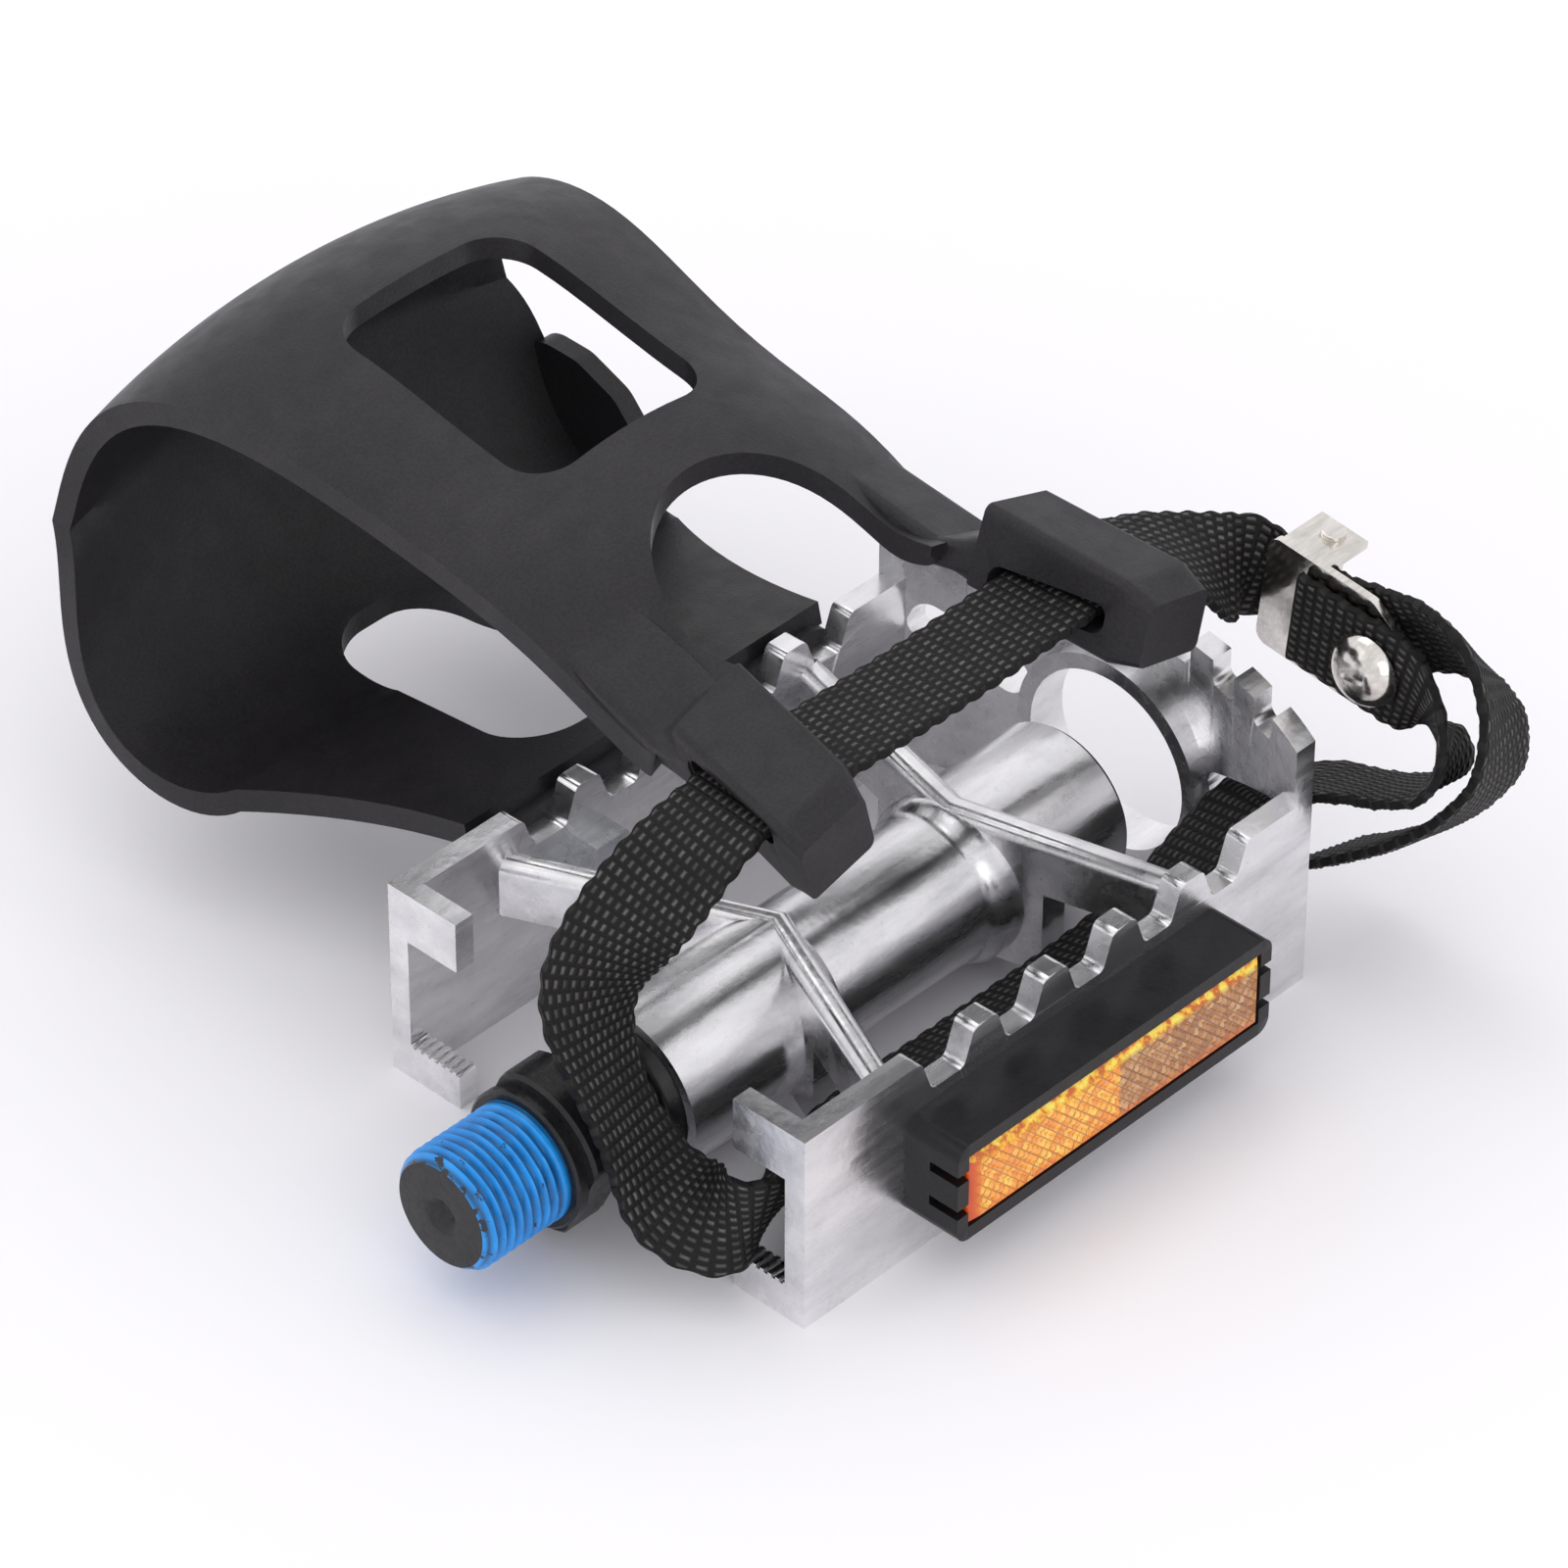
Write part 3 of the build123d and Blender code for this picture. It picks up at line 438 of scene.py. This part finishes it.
# Spindle: the turned body with its flats, and a rolled thread under a blue coat
AROUND = 128
TURNS = np.arange(AROUND) * 2 * math.pi / AROUND


def spindle_ring(x, radius):
    return np.stack([np.full(AROUND, x), radius * np.cos(TURNS), radius * np.sin(TURNS)], 1) * MM


def thread_radius(x):
    """Radius round one section of the thread, with its run-in at the free end."""
    turn = (x / thread_pitch - TURNS / (2 * math.pi)) % 1.0
    crest = np.clip(1.35 - 2.9 * np.abs(turn - 0.5), 0.0, 1.0)
    cap = min(thread_r, thread_r - 1.0 + 0.9 * (x - thread_end))
    fade = min(1.0, max(0.0, -0.6 - x) / 0.6)
    return np.minimum(thread_r - thread_depth * crest * fade, cap)


collar_r, half_flats, flats_turn = 9.6, 7.5, math.radians(25)
flat_r = np.minimum(collar_r, half_flats / np.maximum(np.abs(np.cos(TURNS - flats_turn)), 1e-6))
thread_steps = np.linspace(thread_end, 0.0, 97)
rings = [spindle_ring(-10.9, 0.3), spindle_ring(-10.9, 0.9), spindle_ring(-11.95, 2.2)]
rings += [spindle_ring(thread_end, r) for r in (2.5, 4.2, 5.6)]
coat_start = len(rings)
rings += [spindle_ring(x, thread_radius(x)) for x in thread_steps]
coat_end = len(rings) - 1
rings += [spindle_ring(x, r) for x, r in ((0.0, 7.9), (0.3, 8.2), (1.5, 8.2))]
rings += [spindle_ring(1.5, np.minimum(flat_r, 9.2)), spindle_ring(1.9, flat_r)]
rings += [spindle_ring(6.6, flat_r), spindle_ring(7.0, np.minimum(flat_r, 9.2))]
rings += [
    spindle_ring(x, r)
    for x, r in (
        (7.0, 6.9), (7.3, 6.6), (18.2125, 6.6), (18.2125, 4.7), (21.7875, 4.7), (22.7875, 5.0),
        (68.4125, 4.0), (68.4125, 3.2), (80.6, 3.2), (81.0125, 2.8),
    )
]
faces = tube_faces(len(rings), AROUND)
COAT, COLLAR, END = range(3)
which = []
for face in faces:
    ring = min(face) // AROUND
    which.append(END if ring < coat_start else COAT if ring < coat_end else COLLAR)
which[-2:] = [END, COLLAR]
spindle = piece(
    "spindle_turned", np.concatenate(rings), faces, [blue, collar_black, end_black],
    "spindle", "spindle", which=which,
)
spindle.data.set_sharp_from_angle(angle=math.radians(38))

# Strap: the centre line and the way the width lies, in millimetres, from rivet to free end
strap_route = [
    ((99.1, -19.0, 27.2), (0, -0.1, 1)),
    ((99.1, -27.0, 26.4), (0, -0.1, 1)),
    ((99.1, -34.4, 25.6), (0, -0.1, 1)),
    ((99.0, -38.4, 24.0), (-0.4, -0.25, 0.87)),
    ((99.0, -40.8, 20.4), (-0.75, -0.35, 0.55)),
    ((99.0, -40.0, 15.8), (-0.9, -0.25, 0.38)),
    ((98.8, -36.0, 12.6), (-0.9, -0.3, 0.36)),
    ((98.2, -30.6, 10.4), (-0.78, -0.5, 0.42)),
    ((97.2, -24.6, 8.2), (-0.5, -0.75, 0.36)),
    ((93.2, -20.2, 6.6), (-0.1, -0.92, 0.36)),
    ((88.0, -19.6, 4.4), (0, -0.93, 0.36)),
    ((80.0, -19.4, 1.0), (0, -0.94, 0.33)),
    ((70.0, -19.2, -1.2), (0, -0.95, 0.31)),
    ((50.0, -19.2, -1.6), (0, -0.95, 0.31)),
    ((30.0, -19.4, -1.4), (0, -0.94, 0.33)),
    ((21.0, -21.2, -1.0), (0, -0.85, 0.52)),
    ((14.5, -23.2, -0.7), (0, -0.5, 0.87)),
    ((10.6, -23.8, -0.2), (-0.03, -0.15, 0.99)),
    ((7.9, -23.5, -1.0), (0.06, -0.06, 1)),
    ((7.2, -19.6, -0.9), (0.48, 0.24, 0.84)),
    ((6.6, -15.8, -0.9), (0.9, 0.02, 0.43)),
    ((6.3, -13, 1.3), (0.99, 0.1, -0.05)),
    ((6.2, -10, 6), (0.94, 0.21, -0.29)),
    ((6.2, -6.3, 11), (0.94, 0.16, -0.3)),
    ((6.6, -3.6, 16), (0.96, -0.03, -0.27)),
    ((7.2, -2.9, 21.2), (0.89, -0.4, -0.23)),
    ((8.5, -4.8, 26.8), (0.67, -0.68, -0.29)),
    ((11.3, -7.5, 32.6), (0.36, -0.89, -0.26)),
    ((15.4, -9, 37.4), (0.1, -0.99, -0.13)),
    ((21.0, -9.5, 40.1), (0, -1, 0)),
    ((31.0, -9.6, 40.7), (0, -1, 0)),
    ((51.0, -9.4, 40.2), (0, -1, 0)),
    ((71.0, -9.4, 40.7), (0, -1, 0)),
    ((81.5, -9.5, 40.3), (0, -1, 0)),
    ((87.0, -10.2, 37.6), (0, -0.93, -0.36)),
    ((92.0, -10.9, 34.2), (0, -0.75, -0.66)),
    ((96.6, -11.2, 31.0), (0, -0.45, -0.9)),
    ((100.6, -11.3, 28.7), (0, -0.1, -1)),
    ((102.8, -14.0, 27.7), (0, 0.1, -1)),
    ((102.6, -22.6, 26.9), (0, 0.1, -1)),
    ((103.4, -28.6, 28.0), (0.15, 0, -1)),
    ((104.0, -35.0, 29.8), (0.4, 0, -0.9)),
    ((103.0, -41.4, 30.0), (0.62, 0.05, -0.78)),
    ((101.8, -45.6, 26.0), (0.75, 0.15, -0.62)),
    ((101.2, -46.0, 19.4), (0.82, 0.2, -0.5)),
    ((101.0, -42.6, 12.6), (0.88, 0.18, -0.4)),
    ((100.8, -37.0, 6.2), (0.92, 0.12, -0.35)),
    ((100.8, -30.4, 0.6), (0.95, 0.05, -0.3)),
    ((100.8, -24.6, -3.6), (0.96, 0, -0.25)),
]


def smooth_run(values, stops, where):
    """Values between the stations on one smooth curve that doesn't overshoot much."""
    slope = np.zeros_like(values)
    slope[1:-1] = (values[2:] - values[:-2]) / (stops[2:] - stops[:-2])[:, None]
    slope[0] = (values[1] - values[0]) / (stops[1] - stops[0])
    slope[-1] = (values[-1] - values[-2]) / (stops[-1] - stops[-2])
    i = np.clip(np.searchsorted(stops, where, "right") - 1, 0, len(stops) - 2)
    span = (stops[i + 1] - stops[i])[:, None]
    t = ((where - stops[i])[:, None]) / span
    return (
        (1 + 2 * t) * (1 - t) ** 2 * values[i]
        + t * (1 - t) ** 2 * span * slope[i]
        + t**2 * (3 - 2 * t) * values[i + 1]
        + t**2 * (t - 1) * span * slope[i + 1]
    )


centres = np.array([c for c, _ in strap_route], float)
widths = np.array([w for _, w in strap_route], float)
widths /= np.linalg.norm(widths, axis=1)[:, None]
stops = np.concatenate([[0], np.cumsum(np.linalg.norm(np.diff(centres, axis=0), axis=1))])
fine = np.linspace(0, stops[-1], 4000)
path = smooth_run(centres, stops, fine)
walked = np.concatenate([[0], np.cumsum(np.linalg.norm(np.diff(path, axis=0), axis=1))])
strap_length = walked[-1]
step = row_pitch / 4
count = int(strap_length / step)
along = np.linspace(0, strap_length, count)
where = np.interp(along, walked, fine)
path = smooth_run(centres, stops, where)
lie = smooth_run(widths, stops, where)

# The bend from the rear corner up to the near loop is softened, and eased in and out
SOFT_SPREAD, SOFT_STEPS = 3.2, 36
ease_from, ease_in, ease_out, ease_to = (stops[k] for k in (15, 17, 28, 30))
kernel = np.exp(-0.5 * (np.arange(-SOFT_STEPS, SOFT_STEPS + 1) * step / SOFT_SPREAD) ** 2)
kernel /= kernel.sum()
ease = np.clip((where - ease_from) / (ease_in - ease_from), 0, 1)
ease = ease * np.clip((ease_to - where) / (ease_to - ease_out), 0, 1)
ease = (ease * ease * (3 - 2 * ease))[:, None]
for line in (path, lie):
    padded = np.pad(line, ((SOFT_STEPS, SOFT_STEPS), (0, 0)), mode="edge")
    softened = np.stack([np.convolve(padded[:, k], kernel, "valid") for k in range(3)], 1)
    line += ease * (softened - line)
run = np.gradient(path, axis=0)
run /= np.linalg.norm(run, axis=1)[:, None]
lie -= run * np.sum(lie * run, axis=1)[:, None]
lie /= np.linalg.norm(lie, axis=1)[:, None]
face_out = np.cross(run, lie)

# Beads in rows on both faces, with thinner toothed edges
COLUMNS = 25
EDGE_FROM, EDGE_THINNER, TOOTH = 0.9, 0.35, 0.05
across = np.linspace(-1, 1, COLUMNS)
row = along / row_pitch
crest = np.sin(math.pi * row) ** 2
notch = np.sin(math.pi * row / 2) ** 2
points, weave = [], []
for side in (1, -1):
    for column in across if side == 1 else across[::-1]:
        bead = (column + 1) * strap_width / 2 / bead_pitch
        swell = crest * np.cos(math.pi * (bead - 0.5 * (np.floor(row) % 2) - 0.5)) ** 2
        rim = max(0.0, abs(column) - EDGE_FROM) / (1 - EDGE_FROM)
        lift = (strap_thickness / 2 - bead_height * (1 - swell)) * (1.0 - EDGE_THINNER * rim)
        reach = strap_width / 2 * column * (1 - TOOTH * rim * notch)
        points.append(path + lie * reach[:, None] + face_out * (side * lift)[:, None])
        weave.append(np.stack([np.full(count, bead * bead_pitch), along], 1))
points = np.stack(points, 1).reshape(-1, 3) * MM
weave = np.stack(weave, 1).reshape(-1, 2)
faces = tube_faces(count, 2 * COLUMNS)
strap = piece("strap_woven", points, faces, [woven], "pedal", "strap")
layer = strap.data.uv_layers.new(name="weave")
corner = np.empty(len(strap.data.loops), int)
strap.data.loops.foreach_get("vertex_index", corner)
layer.data.foreach_set("uv", weave[corner].ravel())
strap.data.set_sharp_from_angle(angle=math.radians(60))

# Reflector lens: rows of small pyramids on its face
low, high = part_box("reflector_lens")
bevel, relief, cells_x, cells_z = 1.0 * MM, 0.32 * MM, 70, 13
grid_x = np.linspace(low[0] + bevel, high[0] - bevel, cells_x + 1)
grid_z = np.linspace(low[2] + bevel, high[2] - bevel, cells_z + 1)
points, faces = [], []
for i, x in enumerate(grid_x):
    for j, z in enumerate(grid_z):
        rim = i in (0, cells_x) or j in (0, cells_z)
        points.append((x, low[1] if (i + j) % 2 == 0 or rim else low[1] + relief, z))
ROW = cells_z + 1
for i in range(cells_x):
    for j in range(cells_z):
        a, b, c, d = i * ROW + j, (i + 1) * ROW + j, (i + 1) * ROW + j + 1, i * ROW + j + 1
        if (i + j) % 2 == 0:
            faces += [(a, b, d), (b, c, d)]
        else:
            faces += [(a, b, c), (a, c, d)]
rim = [i * ROW for i in range(cells_x + 1)]
rim += [cells_x * ROW + j for j in range(1, ROW)]
rim += [i * ROW + cells_z for i in range(cells_x - 1, -1, -1)]
rim += list(range(cells_z - 1, 0, -1))
first = len(points)
for k in rim:
    x, _, z = points[k]
    x = low[0] if x == grid_x[0] else high[0] if x == grid_x[-1] else x
    z = low[2] if z == grid_z[0] else high[2] if z == grid_z[-1] else z
    points.append((x, low[1] + bevel, z))
second = len(points)
points += [(x, high[1], z) for x, _, z in points[first:second]]
size = len(rim)
for k in range(size):
    n = (k + 1) % size
    faces.append((rim[n], rim[k], first + k, first + n))
    faces.append((first + n, first + k, second + k, second + n))
faces.append(tuple(second + k for k in range(size)))
piece(
    "lens_moulded", points, faces, [amber(low, high)], "pedal",
    "reflector_lens", smooth=False,
)

# Rivet: a domed head on the strap side and a flat tail behind the buckle
RIVET_AROUND = 48
turned = [
    (95.48, 0.05), (95.5, 0.7), (95.62, 1.6), (95.9, 2.5), (96.4, 3.35), (97.1, 4.0), (97.8, 4.35),
    (98.1, 4.4), (98.28, 4.25), (98.28, 1.7), (101.0, 1.7), (101.0, 3.2), (101.7, 3.2),
    (101.9, 2.9),
]
buckle_y, buckle_z, buckle_tilt, rivet_reach = -13.6, 27.8, math.radians(6), 16.4
spot_y = buckle_y - rivet_reach * math.cos(buckle_tilt)
spot_z = buckle_z - rivet_reach * math.sin(buckle_tilt)
angles = np.arange(RIVET_AROUND) * 2 * math.pi / RIVET_AROUND
rings = []
for x, r in turned:
    ring = [np.full(RIVET_AROUND, x), spot_y + r * np.cos(angles), spot_z + r * np.sin(angles)]
    rings.append(np.stack(ring, 1) * MM)
rivet = piece(
    "rivet_domed", np.concatenate(rings), tube_faces(len(rings), RIVET_AROUND), [nickel], "pedal",
    "buckle_rivet",
)
rivet.data.set_sharp_from_angle(angle=math.radians(40))

# Floor, light and camera
floor_paint = Paint("floor", Roughness=0.85)
floor_tone = floor_paint.ramp(
    floor_paint.noise(3, 3), (0.3, (0.935, 0.915, 0.945)), (0.7, (0.95, 0.93, 0.96))
)
floor_paint.drives(floor_tone, "Base Color")
half = 3.0
ground = cad_box[0][2]
mesh = bpy.data.meshes.new("floor")
mesh.from_pydata(
    [(-half, -half, ground), (half, -half, ground), (half, half, ground), (-half, half, ground)],
    [], [(0, 1, 2, 3)],
)
mesh.materials.append(floor_paint.made)
floor = bpy.data.objects.new("floor", mesh)
scene.collection.objects.link(floor)

world = bpy.data.worlds.new("studio")
scene.world = world
world.use_nodes = True
tree = world.node_tree
tree.nodes.clear()
path_kind = tree.nodes.new("ShaderNodeLightPath")
seen = path_kind.outputs["Is Camera Ray"]
for kind in ("Is Glossy Ray", "Is Transmission Ray"):
    either = tree.nodes.new("ShaderNodeMath")
    either.operation = "MAXIMUM"
    tree.links.new(seen, either.inputs[0])
    tree.links.new(path_kind.outputs[kind], either.inputs[1])
    seen = either.outputs[0]
soft = tree.nodes.new("ShaderNodeBackground")
soft.inputs["Color"].default_value = (0.98, 0.985, 1.0, 1)
soft.inputs["Strength"].default_value = 1.0
white = tree.nodes.new("ShaderNodeBackground")
white.inputs["Color"].default_value = (0.97, 0.96, 0.98, 1)
white.inputs["Strength"].default_value = 1.0
blend = tree.nodes.new("ShaderNodeMixShader")
out = tree.nodes.new("ShaderNodeOutputWorld")
tree.links.new(seen, blend.inputs[0])
tree.links.new(soft.outputs[0], blend.inputs[1])
tree.links.new(white.outputs[0], blend.inputs[2])
tree.links.new(blend.outputs[0], out.inputs["Surface"])

target = Vector((49.170, 9.365, 16.933)) * MM


def softbox(name, offset, size, watts):
    """A square lamp that faces the object from the given offset."""
    lamp = bpy.data.lights.new(name, "AREA")
    lamp.shape = "SQUARE"
    lamp.size = size
    lamp.energy = watts
    made = bpy.data.objects.new(name, lamp)
    made.location = target + Vector(offset)
    made.rotation_mode = "QUATERNION"
    made.rotation_quaternion = (-Vector(offset)).to_track_quat("-Z", "Y")
    scene.collection.objects.link(made)


softbox("key", (0.12, 0.34, 0.80), 0.5, 0.7)
softbox("fill", (-0.62, 0.30, 0.55), 0.5, 0.3)
softbox("front", (-0.30, -0.80, 0.36), 0.6, 0.9)

# The camera solved from the photo
FOCAL_PIXELS, PHOTO_PIXELS, CAMERA_DISTANCE = 8397.6, 1600.0, 0.88041
camera = bpy.data.cameras.new("camera")
camera.sensor_width = 36.0
camera.lens = FOCAL_PIXELS * camera.sensor_width / PHOTO_PIXELS
camera.clip_start, camera.clip_end = 0.05, 50.0
view = bpy.data.objects.new("camera", camera)
azimuth, elevation, roll = (math.radians(v) for v in (-46.418, 38.243, 0.140))
back = Vector(
    (
        math.sin(azimuth) * math.cos(elevation),
        -math.cos(azimuth) * math.cos(elevation),
        math.sin(elevation),
    )
)
right = (-back).cross(Vector((0, 0, 1))).normalized()
up = right.cross(-back)
right, up = (
    right * math.cos(roll) + up * math.sin(roll),
    up * math.cos(roll) - right * math.sin(roll),
)
stand = target + back * CAMERA_DISTANCE
view.matrix_world = Matrix(
    (
        (right.x, up.x, back.x, stand.x),
        (right.y, up.y, back.y, stand.y),
        (right.z, up.z, back.z, stand.z),
        (0, 0, 0, 1),
    )
)
scene.collection.objects.link(view)
scene.camera = view
scene.view_settings.view_transform = "Standard"

bpy.context.view_layer.update()
